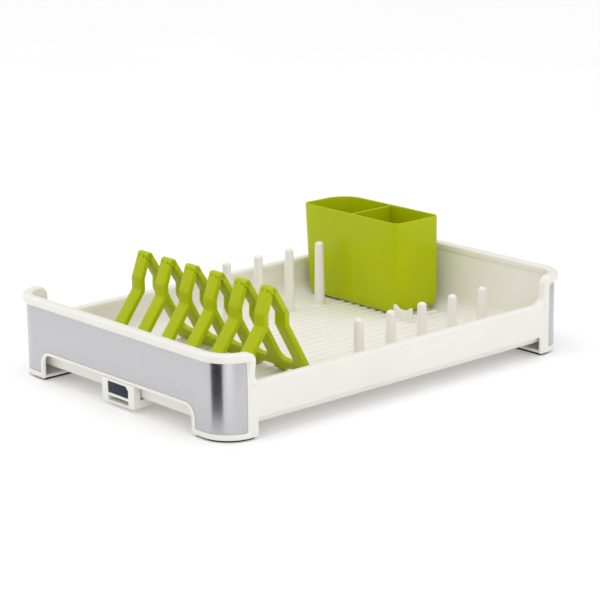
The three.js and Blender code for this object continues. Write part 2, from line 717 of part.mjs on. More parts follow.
const frameY = (n) => (n - (FRAME_COUNT - 1) / 2) * FRAME_PITCH;

// Stretches of one hinge along Y, from its middle: [from, to, the comb that owns it].
function knuckles() {
  const edge = STRAP_WIDTH / 2;
  const inner = edge - KNUCKLE_WIDTH;
  return [
    [-edge, -inner, COMBS.right],
    [-inner + GAP, inner - GAP, COMBS.left],
    [inner, edge, COMBS.right],
  ];
}

function comb(one) {
  const parts = [];
  const cuts = [];
  for (let n = 0; n < FRAME_COUNT; n += 1) {
    const y = frameY(n);
    const strap = prismY(strapSection(one), y - STRAP_WIDTH / 2, y + STRAP_WIDTH / 2);
    parts.push(strap.subtract(foldRoom(one, y - STRAP_WIDTH / 2 - 1, y + STRAP_WIDTH / 2 + 1)));
    knuckles().forEach(([from, to, owner]) => {
      if (owner === one) {
        parts.push(rodY(KNUCKLE_RADIUS, HINGE_X, HINGE_HEIGHT, y + from, y + to));
      } else {
        const clearance = KNUCKLE_RADIUS + 2 * GAP;
        cuts.push(rodY(clearance, HINGE_X, HINGE_HEIGHT, y + from - GAP, y + to + GAP));
      }
    });
    const reach = STRAP_WIDTH / 2 + 1;
    cuts.push(rodY(PIN_RADIUS + PIN_PLAY, HINGE_X, HINGE_HEIGHT, y - reach, y + reach));
  }
  const ends = [frameY(0) - STRAP_WIDTH / 2, frameY(FRAME_COUNT - 1) + STRAP_WIDTH / 2];
  parts.push(crossbar(one, ...ends));
  return cuts.reduce((rest, cut) => rest.subtract(cut), joined(parts));
}

function hingePin(n) {
  const reach = STRAP_WIDTH / 2 - 0.5;
  return rodY(PIN_RADIUS, HINGE_X, HINGE_HEIGHT, frameY(n) - reach, frameY(n) + reach, 10);
}

// ---- assembly -----------------------------------------------------------------------------
const rack = new THREE.Group();
rack.name = "dish_drying_rack";
const ENDS = [["near", -1], ["far", 1]];
const SIDES = [["front", -1], ["back", 1]];

rack.add(piece("drip_tray", dripTray(), IVORY()));
ENDS.forEach(([endName, end]) => {
  rack.add(piece(`end_frame_${endName}`, endFrame(end), IVORY()));
  rack.add(piece(`end_skin_${endName}`, endSkin(end), STEEL()));
  SIDES.forEach(([sideName, side]) => {
    rack.add(piece(`foot_${endName}_${sideName}`, foot(end, side), RUBBER()));
  });
});
SIDES.forEach(([sideName, side]) => {
  rack.add(piece(`side_rail_${sideName}`, sideRail(side), IVORY()));
});
pegPlaces().forEach((place) => {
  rack.add(piece(place.name, peg(place), IVORY()));
});

rack.add(piece("spout_housing", spoutHousing(), IVORY()));
screwPlaces().forEach((place, n) => {
  rack.add(piece(`spout_screw_${n + 1}`, spoutScrew(place), STEEL()));
});
rack.add(piece("drain_plug", drainPlug(), SLATE()));
rack.add(piece("plug_seal", plugSeal(), RUBBER()));

rack.add(piece("cutlery_caddy", caddy(), LIME()));
rack.add(piece("comb_left", comb(COMBS.left), LIME()));
rack.add(piece("comb_right", comb(COMBS.right), LIME()));
for (let n = 0; n < FRAME_COUNT; n += 1) {
  rack.add(piece(`hinge_pin_${n + 1}`, hingePin(n), LIME()));
}

export default rack;
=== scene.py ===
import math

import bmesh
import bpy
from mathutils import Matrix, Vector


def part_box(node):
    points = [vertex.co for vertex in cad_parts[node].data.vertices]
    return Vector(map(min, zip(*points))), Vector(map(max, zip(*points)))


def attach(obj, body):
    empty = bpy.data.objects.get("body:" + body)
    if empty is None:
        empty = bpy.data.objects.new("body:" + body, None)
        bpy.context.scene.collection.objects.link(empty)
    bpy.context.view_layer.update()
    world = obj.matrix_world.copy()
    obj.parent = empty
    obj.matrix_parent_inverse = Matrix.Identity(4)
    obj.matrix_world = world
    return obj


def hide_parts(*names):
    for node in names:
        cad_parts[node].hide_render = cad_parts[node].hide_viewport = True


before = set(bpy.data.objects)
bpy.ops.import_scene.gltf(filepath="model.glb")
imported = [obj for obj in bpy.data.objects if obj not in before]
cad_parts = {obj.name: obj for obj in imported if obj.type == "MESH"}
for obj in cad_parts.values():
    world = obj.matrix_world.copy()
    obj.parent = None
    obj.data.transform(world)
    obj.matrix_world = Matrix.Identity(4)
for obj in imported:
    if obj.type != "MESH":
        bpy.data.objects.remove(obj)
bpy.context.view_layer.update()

# %% [markdown]
# # A dish drying rack
#
# The rack is a ribbed drip tray carried by a moulded ivory frame whose two ends are faced with
# brushed steel. A folding lime-green plate rack and a cutlery caddy stand in the tray and lift
# out, ivory pegs stand between them, and a plug closes a spout under the near end.
# Everything is in metres, in the frame of the loaded model: +X runs towards the caddy end, +Y
# towards the back, and the table is at z = 0.

MM = 0.001

# %% [markdown]
# ## Camera
#
# Something this long looks natural from well back through a long lens, so that its far end
# doesn't shrink much. The camera looks at a point in the middle of the rack, from in front of
# the near left corner and a little above, and it leans by less than a degree. A Track To
# constraint could aim it, but working its axes out leaves the lean as one plain angle.

# %% Camera
AIM = Vector((8.1, 0, 63.7)) * MM
AZIMUTH = math.radians(-41.433)
ELEVATION = math.radians(15.078)
LEAN = math.radians(-0.657)
DISTANCE = 2.2497
LENS = 128.85
SENSOR = 36

backwards = Vector((math.sin(AZIMUTH), -math.cos(AZIMUTH), 0)) * math.cos(ELEVATION)
backwards.z = math.sin(ELEVATION)
across = (-backwards).cross(Vector((0, 0, 1))).normalized()
upwards = across.cross(-backwards)
leaned_across = across * math.cos(LEAN) + upwards * math.sin(LEAN)
leaned_up = upwards * math.cos(LEAN) - across * math.sin(LEAN)
view = Matrix((leaned_across, leaned_up, backwards)).transposed().to_4x4()
view.translation = AIM + backwards * DISTANCE

camera_data = bpy.data.cameras.new("camera")
camera_data.lens = LENS
camera_data.sensor_width = SENSOR
camera = bpy.data.objects.new("camera", camera_data)
camera.matrix_world = view
bpy.context.scene.collection.objects.link(camera)
bpy.context.scene.camera = camera
print("the camera stands at", [round(v, 3) for v in camera.location])

# %% [markdown]
# ## Small tools
#
# Each operator works on whatever is selected, so every piece starts with nothing selected. Two
# shapes do most of the work here. An outline is a list of corners, each with the radius that
# rounds it. A loft starts as one filled ring on its first outline, and is extruded from outline
# to outline, as a potter draws up a wall, so that it is closed at both ends. Curves with bevels
# could do the same work, but a list of named sizes is easier to check and to change.

# %% Selecting and naming
def deselect():
    if bpy.context.mode != "OBJECT":
        bpy.ops.object.mode_set(mode="OBJECT")
    bpy.ops.object.select_all(action="DESELECT")


def take(piece):
    """Makes one piece the only one selected, and the active one."""
    deselect()
    piece.select_set(True)
    bpy.context.view_layer.objects.active = piece


def settle(name):
    """Names the newest primitive and puts its place into its mesh."""
    piece = bpy.context.object
    piece.name = name
    piece.data.name = name
    bpy.ops.object.transform_apply()
    return piece


# %% Outlines
def outline(corners, steps=6):
    """Points of a line through corners (across, up, radius), with an arc in each rounded one."""
    points = []
    for i, (x, y, radius) in enumerate(corners):
        corner = Vector((x, y))
        if not radius:
            points.append(corner)
            continue
        back = (Vector(corners[i - 1][:2]) - corner).normalized()
        ahead = (Vector(corners[(i + 1) % len(corners)][:2]) - corner).normalized()
        half = back.angle(ahead) / 2
        centre = corner + (back + ahead).normalized() * radius / math.sin(half)
        start = corner + back * radius / math.tan(half) - centre
        end = corner + ahead * radius / math.tan(half) - centre
        turn = math.atan2(start.x * end.y - start.y * end.x, start.dot(end))
        for k in range(steps + 1):
            points.append(Matrix.Rotation(turn * k / steps, 2) @ start + centre)
    return points


# %% Lofts
def extrude_to(piece, before, after):
    """Extrudes what is selected, and takes each new vertex from its old place to its new one."""
    bpy.ops.mesh.extrude_region_move()
    mesh = bmesh.from_edit_mesh(piece.data)
    for vertex in [v for v in mesh.verts if v.select]:
        old = min(range(len(before)), key=lambda i: (vertex.co - before[i]).length_squared)
        vertex.co = after[old]
    bmesh.update_edit_mesh(piece.data)


def loft(name, rings):
    """A closed solid through rings of equal length, capped by its first and its last ring."""
    deselect()
    bpy.ops.mesh.primitive_circle_add(vertices=len(rings[0]), radius=1, fill_type="NGON")
    piece = settle(name)
    for vertex, point in zip(piece.data.vertices, rings[0]):
        vertex.co = point
    bpy.ops.object.mode_set(mode="EDIT")
    bpy.ops.mesh.select_all(action="SELECT")
    for before, after in zip(rings, rings[1:]):
        extrude_to(piece, before, after)
    bpy.ops.mesh.select_all(action="SELECT")
    bpy.ops.mesh.normals_make_consistent(inside=False)
    bpy.ops.object.mode_set(mode="OBJECT")
    return piece


def prism(name, points, place, start, end):
    """A loft with one outline at both ends; place(point, depth) gives each vertex."""
    return loft(name, [[place(p, depth) for p in points] for depth in (start, end)])


# %% Joining, cutting and rounding
def modify(piece, kind, **settings):
    take(piece)
    modifier = piece.modifiers.new(kind.lower(), kind)
    for key, value in settings.items():
        setattr(modifier, key, value)
    bpy.ops.object.modifier_apply(modifier=modifier.name)


def combine(piece, other, operation):
    """Adds the other solid to the piece, or cuts it out, and deletes the other."""
    modify(piece, "BOOLEAN", object=other, operation=operation, solver="EXACT")
    bpy.data.objects.remove(other)


def round_edges(piece, width, segments=2, angle=50):
    limit = math.radians(angle)
    modify(piece, "BEVEL", width=width, segments=segments, angle_limit=limit, limit_method="ANGLE")


def join(pieces, name):
    take(pieces[0])
    for piece in pieces[1:]:
        piece.select_set(True)
    if len(pieces) > 1:
        bpy.ops.object.join()
    return settle(name)


def copy_of(piece, name, offset=(0, 0, 0)):
    """A copy with its own mesh, moved in its mesh."""
    copy = piece.copy()
    copy.data = piece.data.copy()
    copy.name = copy.data.name = name
    copy.data.transform(Matrix.Translation(offset))
    bpy.context.scene.collection.objects.link(copy)
    return copy


def shade(piece, angle=35):
    take(piece)
    bpy.ops.object.shade_smooth_by_angle(angle=math.radians(angle))


# %% Handing a piece over
def hand_over(piece, body, material, nodes, angle=35):
    """Shades a finished piece, and says what it moves with, is made of, and stands for."""
    shade(piece, angle)
    piece.data.materials.clear()
    piece.data.materials.append(material)
    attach(piece, body)
    if nodes:
        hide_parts(*nodes)
    print(piece.name, "has", len(piece.data.polygons), "faces and stands for", nodes)


# %% [markdown]
# ## Finishes
#
# Moulded plastic is one colour all through, but it is never perfectly even: the mould leaves a
# fine texture that breaks up the gloss, and the colour drifts a little from thick to thin. The
# helper below gives a plastic both, at the scale of the real thing, from noise on the piece's
# own coordinates. Image textures could do it too, but they would need each piece unwrapped and
# would show seams. The plastics differ in tint, gloss and grain, so each has its own call.

# %% Node helpers
def new_material(name, roughness, metallic=0.0):
    material = bpy.data.materials.new(name)
    material.use_nodes = True
    shader = material.node_tree.nodes["Principled BSDF"]
    shader.inputs["Roughness"].default_value = roughness
    shader.inputs["Metallic"].default_value = metallic
    return material, material.node_tree, shader


def noise(tree, scale, stretch=(1, 1, 1), detail=4):
    """Noise on the piece's own coordinates, finer along an axis that is stretched."""
    place = tree.nodes.new("ShaderNodeTexCoord")
    mapping = tree.nodes.new("ShaderNodeMapping")
    mapping.inputs["Scale"].default_value = stretch
    texture = tree.nodes.new("ShaderNodeTexNoise")
    texture.inputs["Scale"].default_value = scale
    texture.inputs["Detail"].default_value = detail
    tree.links.new(place.outputs["Object"], mapping.inputs["Vector"])
    tree.links.new(mapping.outputs["Vector"], texture.inputs["Vector"])
    return texture.outputs["Fac"]


def ramp(tree, factor, low, high, start=0.3, end=0.7):
    """Turns a factor into a colour, or a grey when low and high are numbers."""
    node = tree.nodes.new("ShaderNodeValToRGB")
    for element, value, position in zip(node.color_ramp.elements, (low, high), (start, end)):
        element.position = position
        grey = isinstance(value, (int, float))
        element.color = (value, value, value, 1) if grey else (*value, 1)
    tree.links.new(factor, node.inputs["Fac"])
    return node.outputs["Color"]


def grain(tree, shader, factor, distance, strength=0.35):
    bump = tree.nodes.new("ShaderNodeBump")
    bump.inputs["Distance"].default_value = distance
    bump.inputs["Strength"].default_value = strength
    tree.links.new(factor, bump.inputs["Height"])
    tree.links.new(bump.outputs["Normal"], shader.inputs["Normal"])


# %% Plastics and rubber
def moulded(name, thin, thick, roughness, spread, grain_scale, grain_depth):
    """A moulded plastic between two tints, with an uneven gloss and a fine mould texture."""
    material, tree, shader = new_material(name, roughness)
    links = tree.links
    links.new(ramp(tree, noise(tree, 14), thin, thick), shader.inputs["Base Color"])
    gloss = ramp(tree, noise(tree, 160), roughness - spread, roughness + spread)
    links.new(gloss, shader.inputs["Roughness"])
    grain(tree, shader, noise(tree, grain_scale, detail=2), grain_depth)
    return material, shader


ivory, ivory_shader = moulded(
    "ivory_plastic", (0.82, 0.795, 0.74), (0.86, 0.835, 0.785), 0.36, 0.05, 2600, 0.00003
)
ivory_shader.inputs["Coat Weight"].default_value = 0.08
lime, lime_shader = moulded(
    "lime_plastic", (0.42, 0.495, 0.0), (0.455, 0.53, 0.0), 0.22, 0.04, 1500, 0.00002
)
lime_shader.inputs["Specular IOR Level"].default_value = 0.16
slate, slate_shader = moulded(
    "slate_plastic", (0.022, 0.03, 0.043), (0.028, 0.037, 0.052), 0.5, 0.05, 2200, 0.00004
)
slate_shader.inputs["Specular IOR Level"].default_value = 0.2
rubber, _ = moulded(
    "black_rubber", (0.012, 0.012, 0.013), (0.022, 0.022, 0.023), 0.8, 0.08, 900, 0.00008
)
print("plastics:", ivory.name, lime.name, slate.name, rubber.name)

# %% [markdown]
# Brushed sheet is sanded along its length. The scratches are long and very fine, and they spread
# a reflection across the brushing, so a light becomes an upright streak. Here the scratches run
# level round the corners: the noise is squeezed in height only, and the anisotropy turns with
# the surface because its tangent is worked out from the normal. A tangent from a UV map would
# do as well, but the skin would first have to be unwrapped along its length.

# %% Steel
def brushed(name, tint, roughness, anisotropy):
    material, tree, shader = new_material(name, roughness, metallic=1.0)
    scratches = noise(tree, 200, stretch=(1, 1, 14), detail=3)
    bright = tuple(min(1.0, c * 1.14) for c in tint)
    tree.links.new(ramp(tree, scratches, tint, bright), shader.inputs["Base Color"])
    uneven = ramp(tree, scratches, roughness - 0.06, roughness + 0.06)
    tree.links.new(uneven, shader.inputs["Roughness"])
    shader.inputs["Anisotropic"].default_value = anisotropy
    shader.inputs["Anisotropic Rotation"].default_value = 0.25
    surface = tree.nodes.new("ShaderNodeNewGeometry")
    level = tree.nodes.new("ShaderNodeVectorMath")
    level.operation = "CROSS_PRODUCT"
    level.inputs[1].default_value = (0, 0, 1)
    tree.links.new(surface.outputs["Normal"], level.inputs[0])
    tree.links.new(level.outputs["Vector"], shader.inputs["Tangent"])
    grain(tree, shader, scratches, 0.00002, 0.3)
    return material


steel = brushed("brushed_steel", (0.53, 0.53, 0.545), 0.32, 0.9)
screw_steel = brushed("screw_steel", (0.5, 0.5, 0.5), 0.3, 0.2)
print("metals:", steel.name, screw_steel.name)

# %% [markdown]
# ## The frame
#
# The ivory frame is one moulding that runs right round the tray: two tall ends, wings that wrap
# the corners, a drop in an easy curve to the low side rails, and four corner legs with an arch
# between them under each end. It is easiest to model flat. The whole wall is drawn as a long
# board, its rim is added along the top edge, the board is scored where the corners will be, and
# then it is wrapped round the rack's rounded plan as a strip of card would be. Ends and rails
# could be modelled apart and joined, but then each corner would need a blend of its own.

# %% Sizes of the frame
LIP = 3 * MM
CORNER = 33 * MM
WALL = 3 * MM
near_low, near_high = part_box("end_frame_near")
rail_low, rail_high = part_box("side_rail_front")
HALF_LENGTH = -near_low.x - LIP
HALF_WIDTH = near_high.y - LIP
END_TOP = near_high.z
SIDE_TOP = rail_high.z
SIDE_LOW = rail_low.z
LEG_LOW = near_low.z
LEG_ALONG = 41 * MM
LEG_ACROSS = 50 * MM
ARCH_TOP = 28.6 * MM
ARCH_ROUND = 9 * MM
WING = 38 * MM
print("the frame is", HALF_LENGTH * 2 / MM, "by", HALF_WIDTH * 2 / MM, "mm over its faces")

# %% The plan, as a distance along the board
HALF_X = HALF_LENGTH - CORNER
HALF_Y = HALF_WIDTH - CORNER
QUARTER = CORNER * math.pi / 2
HALF_ROUND = 2 * (HALF_X + QUARTER + HALF_Y)
NEAR = HALF_X + QUARTER + HALF_Y


def plan_point(along, end_inset, side_inset):
    """Where a distance along the board lies on the plan, from the middle of the back side."""
    sign = 1 if along < HALF_ROUND else -1
    along = min(max(along if sign > 0 else along - HALF_ROUND, 0), HALF_ROUND)
    r = CORNER - max(end_inset, side_inset)
    hx = HALF_LENGTH - end_inset - r
    hy = HALF_WIDTH - side_inset - r
    if along <= HALF_X:
        x, y = -hx * along / HALF_X, hy + r
    elif along <= HALF_X + QUARTER:
        angle = (along - HALF_X) / CORNER
        x, y = -hx - r * math.sin(angle), hy + r * math.cos(angle)
    elif along <= NEAR + HALF_Y:
        x, y = -hx - r, hy * (NEAR - along) / HALF_Y
    elif along <= NEAR + HALF_Y + QUARTER:
        angle = (along - NEAR - HALF_Y) / CORNER
        x, y = -hx - r * math.cos(angle), -hy - r * math.sin(angle)
    else:
        x, y = -hx * (HALF_ROUND - along) / HALF_X, -hy - r
    return Vector((sign * x, sign * y))


# %% Wrapping a board
CORNER_CUTS = 14


def score(piece):
    """Cuts a board across where it will bend, so that it can follow the corners."""
    take(piece)
    bpy.ops.object.mode_set(mode="EDIT")
    for half in (0, HALF_ROUND):
        for start in (HALF_X, NEAR + HALF_Y):
            for k in range(CORNER_CUTS + 1):
                cut = half + start + QUARTER * k / CORNER_CUTS
                bpy.ops.mesh.select_all(action="SELECT")
                bpy.ops.mesh.bisect(plane_co=(cut, 0, 0), plane_no=(1, 0, 0))
    bpy.ops.object.mode_set(mode="OBJECT")


def wrap(piece):
    """Bends a scored board round the plan: its length follows the plan, its depth goes in."""
    for vertex in piece.data.vertices:
        along, depth, height = vertex.co
        x, y = plan_point(along, depth, depth)
        vertex.co = (x, y, height)


def board(name, points, outside, inside):
    return prism(name, points, lambda p, depth: Vector((p.x, depth, p.y)), outside, inside)


# %% The flat wall
leg_out = HALF_Y + QUARTER + LEG_ALONG - CORNER
wing_out = HALF_Y + QUARTER + WING - CORNER
arch_out = HALF_WIDTH - LEG_ACROSS
TOP_INSIDE_RIM = 4 * MM
TOP_ROUND = 4 * MM
LEG_ROUND = 1.5 * MM


def wall_bottom(centre):
    return [
        (centre - leg_out, SIDE_LOW, LEG_ROUND),
        (centre - leg_out, LEG_LOW, LEG_ROUND),
        (centre - arch_out, LEG_LOW, LEG_ROUND),
        (centre - arch_out, ARCH_TOP, ARCH_ROUND),
        (centre + arch_out, ARCH_TOP, ARCH_ROUND),
        (centre + arch_out, LEG_LOW, LEG_ROUND),
        (centre + leg_out, LEG_LOW, LEG_ROUND),
        (centre + leg_out, SIDE_LOW, LEG_ROUND),
    ]


def wall_top(centre):
    out = wing_out - TOP_INSIDE_RIM
    return [
        (centre + out, SIDE_TOP - TOP_INSIDE_RIM, TOP_ROUND),
        (centre + out, END_TOP - TOP_INSIDE_RIM, TOP_ROUND),
        (centre - out, END_TOP - TOP_INSIDE_RIM, TOP_ROUND),
        (centre - out, SIDE_TOP - TOP_INSIDE_RIM, TOP_ROUND),
    ]


wall_outline = outline(
    [(0, SIDE_LOW, 0)]
    + wall_bottom(NEAR)
    + wall_bottom(NEAR + HALF_ROUND)
    + [(2 * HALF_ROUND, SIDE_LOW, 0), (2 * HALF_ROUND, SIDE_TOP - TOP_INSIDE_RIM, 0)]
    + wall_top(NEAR + HALF_ROUND)
    + wall_top(NEAR)
    + [(0, SIDE_TOP - TOP_INSIDE_RIM, 0)]
)
wall = board("rack_frame", wall_outline, 0, WALL)
print("the flat wall is", round(2 * HALF_ROUND / MM), "mm long")

# %% [markdown]
# The steel skin lies in a shallow pocket, so a band of ivory is left showing above the arch,
# beside it, and at the end of each wing. The face could be inset and pushed in by hand, but a cut
# with the skin's own outline, a little larger than the steel, is sure to fit the steel.

# %% The pocket for the steel
SKIN_ALONG = 28 * MM
SKIN_LOW = 8.6 * MM
SKIN_HIGH = 77.7 * MM
SKIN_ABOVE_ARCH = 3.8 * MM
SKIN_BESIDE_ARCH = 5.5 * MM
SKIN_FACE = 0.4 * MM
SKIN_BACK = 1.2 * MM
CLEARANCE = 0.3 * MM
SKIN_ARCH_ROUND = 14 * MM
SKIN_TOP_ROUND = 4 * MM
SKIN_FOOT_ROUND = 2 * MM
SKIN_INNER_ROUND = 1 * MM
CUT_PAST = 1 * MM
WALL_EDGE = 0.5 * MM


def skin_outline(centre, grow):
    out = HALF_Y + QUARTER + SKIN_ALONG - CORNER + grow
    beside = arch_out + SKIN_BESIDE_ARCH - grow
    above = ARCH_TOP + SKIN_ABOVE_ARCH - grow
    low, high = SKIN_LOW - grow, SKIN_HIGH + grow
    corners = [
        (centre - out, low, SKIN_FOOT_ROUND),
        (centre - beside, low, SKIN_INNER_ROUND),
        (centre - beside, above, SKIN_ARCH_ROUND),
        (centre + beside, above, SKIN_ARCH_ROUND),
        (centre + beside, low, SKIN_INNER_ROUND),
        (centre + out, low, SKIN_FOOT_ROUND),
        (centre + out, high, SKIN_TOP_ROUND),
        (centre - out, high, SKIN_TOP_ROUND),
    ]
    return outline(corners, 8)


for centre in (NEAR, NEAR + HALF_ROUND):
    pocket_outline = skin_outline(centre, CLEARANCE)
    pocket = board("pocket", pocket_outline, -CUT_PAST, SKIN_BACK + CLEARANCE)
    combine(wall, pocket, "DIFFERENCE")
round_edges(wall, WALL_EDGE)
print("with its pockets the wall has", len(wall.data.polygons), "faces")

# %% [markdown]
# The rim is one soft-edged band along the wall's top. On the ends it stands proud of the steel
# and reaches in over the tray; on its way down to the side rails it slides inwards until it is
# flush with their faces. A bevelled curve could sweep it, but a curve has one section all along,
# and this one changes on its way, so it is drawn up ring by ring along the curve of the wing.

# %% The rim along the board
RIM_DEPTH = 8.2 * MM
RAIL_DEPTH = 7.6 * MM
RIM_IN = 7.8 * MM
RAIL_IN = 9.4 * MM
RIM_ROUND = 2.2 * MM
WING_CORNER = 9.5 * MM
WING_FOOT = 9 * MM


def rim_path(centre):
    return [
        (centre - wing_out, SIDE_TOP, WING_FOOT),
        (centre - wing_out, END_TOP, WING_CORNER),
        (centre + wing_out, END_TOP, WING_CORNER),
        (centre + wing_out, SIDE_TOP, WING_FOOT),
    ]


path = outline(
    [(0, SIDE_TOP, 0)]
    + rim_path(NEAR)
    + rim_path(NEAR + HALF_ROUND)
    + [(2 * HALF_ROUND, SIDE_TOP, 0)],
    10,
)


def rim_ring(i):
    """The rim's section at one point of its path, square to the path."""
    here = path[i]
    ahead = (path[min(i + 1, len(path) - 1)] - path[max(i - 1, 0)]).normalized()
    down = Vector((ahead.y, -ahead.x))
    rise = min(max((here.y - SIDE_TOP) / (END_TOP - SIDE_TOP), 0), 1)
    rise = rise * rise * (3 - 2 * rise)
    outer = -LIP * rise
    inner = RAIL_IN + (RIM_IN - RAIL_IN) * rise
    depth = RAIL_DEPTH + (RIM_DEPTH - RAIL_DEPTH) * rise
    section = [(outer, 0, RIM_ROUND), (inner, 0, RIM_ROUND)]
    section += [(inner, depth, RIM_ROUND * 0.6), (outer, depth, RIM_ROUND * 0.6)]
    ring = []
    for across_rim, below in outline(section, 4):
        spot = here + down * below
        ring.append(Vector((spot.x, across_rim, spot.y)))
    return ring


rim = loft("rim", [rim_ring(i) for i in range(len(path))])
combine(wall, rim, "UNION")
print("with its rim the frame has", len(wall.data.polygons), "faces")

# %% [markdown]
# Now the board is scored and wrapped. Its two ends meet in the middle of the back, where their
# end faces are taken off and the edges merged, so the frame is one closed ring. A Curve modifier
# could bend it too, but only a formula keeps the corners' inside and outside true arcs.

# %% Wrapping the frame
MERGE = 0.01 * MM
score(wall)
take(wall)
bpy.ops.object.mode_set(mode="EDIT")
bpy.ops.mesh.select_all(action="DESELECT")
mesh = bmesh.from_edit_mesh(wall.data)
for face in mesh.faces:
    centre = face.calc_center_median()
    at_end = min(centre.x, 2 * HALF_ROUND - centre.x) < MERGE
    face.select = at_end and abs(face.normal.x) > 0.9
bmesh.update_edit_mesh(wall.data)
bpy.ops.mesh.delete(type="FACE")
bpy.ops.object.mode_set(mode="OBJECT")
wrap(wall)
take(wall)
bpy.ops.object.mode_set(mode="EDIT")
bpy.ops.mesh.select_all(action="SELECT")
bpy.ops.mesh.remove_doubles(threshold=MERGE)
bpy.ops.mesh.normals_make_consistent(inside=False)
bpy.ops.object.mode_set(mode="OBJECT")
print("wrapped, it spans", [round(v / MM, 1) for v in wall.dimensions], "mm")

# %% [markdown]
# Each leg is closed underneath by a small floor, which the rubber pad is fixed to. The leg's
# bottom edges could be bridged instead, but a plate with the corner's own curve is simpler.

# %% Leg floors
LEG_FLOOR = 3 * MM
LEG_FLOOR_UP = 0.2 * MM
SUNK = 1.5 * MM
for end in (-1, 1):
    for side in (-1, 1):
        x0, x1 = end * (HALF_LENGTH - LEG_ALONG + SUNK), end * (HALF_LENGTH - SUNK)
        y0, y1 = side * (arch_out + SUNK), side * (HALF_WIDTH - SUNK)
        corners = [(x0, y0, 0), (x1, y0, 0), (x1, y1, CORNER - SUNK), (x0, y1, 0)]
        plate = prism(
            "leg_floor",
            outline(corners, 10),
            lambda p, z: Vector((p.x, p.y, z)),
            LEG_LOW + LEG_FLOOR_UP,
            LEG_LOW + LEG_FLOOR,
        )
        combine(wall, plate, "UNION")
print("with its leg floors the frame has", len(wall.data.polygons), "faces")

# %% The frame, handed over
frame_nodes = ["end_frame_near", "end_frame_far", "side_rail_front", "side_rail_back"]
hand_over(wall, "rack_body", ivory, frame_nodes, 30)

# %% [markdown]
# ## The steel skins
#
# Each skin is a thin sheet pressed into its pocket, 0.4 mm below the ivory round it. It is cut
# flat, its edges are eased, and it goes round the corners the same way as the frame. It could
# be copied from the frame's own faces and thickened, but then it couldn't stand clear of them.

# %% Steel skins
SKIN_EDGE = 0.2 * MM
for end, centre in (("near", NEAR), ("far", NEAR + HALF_ROUND)):
    skin = board(f"steel_{end}", skin_outline(centre, 0), SKIN_FACE, SKIN_BACK)
    round_edges(skin, SKIN_EDGE)
    score(skin)
    wrap(skin)
    hand_over(skin, "rack_body", steel, [f"end_skin_{end}"], 30)

# %% [markdown]
# ## The drip tray
#
# The tray is a deep dish with easy curves where its walls meet its floor, so that it wipes clean.
# It is drawn up as one loft: out from under the floor, up the outside, over the top edge, down
# the inside and round the curve on to the floor. Its end walls lean outwards a little. A cube
# with bevels and a Solidify modifier would come close, but inside and outside curve differently.

# %% Sizes of the tray
TRAY_LOW = 13 * MM
TRAY_FLOOR = 16 * MM
FLOOR_CURVE = 15 * MM
TRAY_TOP = 80 * MM
RAIL_UNDER = 50 * MM
END_FOOT = 10 * MM
END_HEAD = 4 * MM
TRAY_SIDE = 6 * MM
UNDER_CURVE = 4 * MM


def plan_ring(end_inset, side_inset, height):
    radius = CORNER - max(end_inset, side_inset)
    x, y = HALF_LENGTH - end_inset, HALF_WIDTH - side_inset
    corners = [(-x, -y, radius), (x, -y, radius), (x, y, radius), (-x, y, radius)]
    return [Vector((p.x, p.y, height)) for p in outline(corners, 9)]


def end_lean(height):
    """How far an end wall's outside stands in from the end at a height."""
    rise = (height - TRAY_LOW) / (TRAY_TOP - TRAY_LOW)
    return END_FOOT + (END_HEAD - END_FOOT) * rise


def tray_ring(height, inwards):
    return plan_ring(end_lean(height) + inwards, TRAY_SIDE + inwards, height)


# %% The tray's walls and floor
rings = []
for k in range(4):
    angle = math.pi / 2 * k / 3
    height = TRAY_LOW + UNDER_CURVE * (1 - math.cos(angle))
    rings.append(tray_ring(height, UNDER_CURVE * (1 - math.sin(angle))))
rings += [tray_ring(TRAY_TOP, 0), tray_ring(TRAY_TOP, WALL)]
for k in range(9):
    angle = math.pi / 2 * k / 8
    height = TRAY_FLOOR + FLOOR_CURVE * (1 - math.sin(angle))
    rings.append(tray_ring(height, WALL + FLOOR_CURVE * (1 - math.cos(angle))))
tray = loft("drip_basin", rings)

# %% [markdown]
# Between the wings the wall is cut down to pass under the side rails, and a slot is opened
# through the near wall at floor level, where the water leaves. The loft could carry both, but it
# stays simple when they are cut from it afterwards.

# %% Cutting the tray down
def block(name, low, high):
    deselect()
    low, high = Vector(low), Vector(high)
    bpy.ops.mesh.primitive_cube_add(size=1, location=(low + high) / 2, scale=high - low)
    return settle(name)


TRAY_WING = 36 * MM
DRAIN_Y = -5.5 * MM
DRAIN_HALF = 13.5 * MM
DRAIN_TOP = 23 * MM
wing_x = HALF_LENGTH - TRAY_WING
above = block("above", (-wing_x, -1, RAIL_UNDER), (wing_x, 1, 1))
combine(tray, above, "DIFFERENCE")
slot_low = (-HALF_LENGTH, DRAIN_Y - DRAIN_HALF, TRAY_FLOOR)
slot_high = (-HALF_LENGTH + 2 * FLOOR_CURVE, DRAIN_Y + DRAIN_HALF, DRAIN_TOP)
combine(tray, block("slot", slot_low, slot_high), "DIFFERENCE")
print("the plain tray has", len(tray.data.polygons), "faces")

# %% [markdown]
# The floor carries sixteen low ribs that keep the dishes out of the wet. One rib is half an
# ellipse in section and dies away at both ends; the others are copies of it, a pitch apart. An
# Array modifier would repeat it too, but copies at their own places can be printed and checked.

# %% Ribs
RIB_HALF = 2.5 * MM
RIB_RISE = 2 * MM
RIB_FADE = 5 * MM
RIB_REACH = HALF_LENGTH - 30 * MM
RIB_PITCH = 12.5 * MM
RIB_COUNT = 16
RIB_SINK = 1 * MM


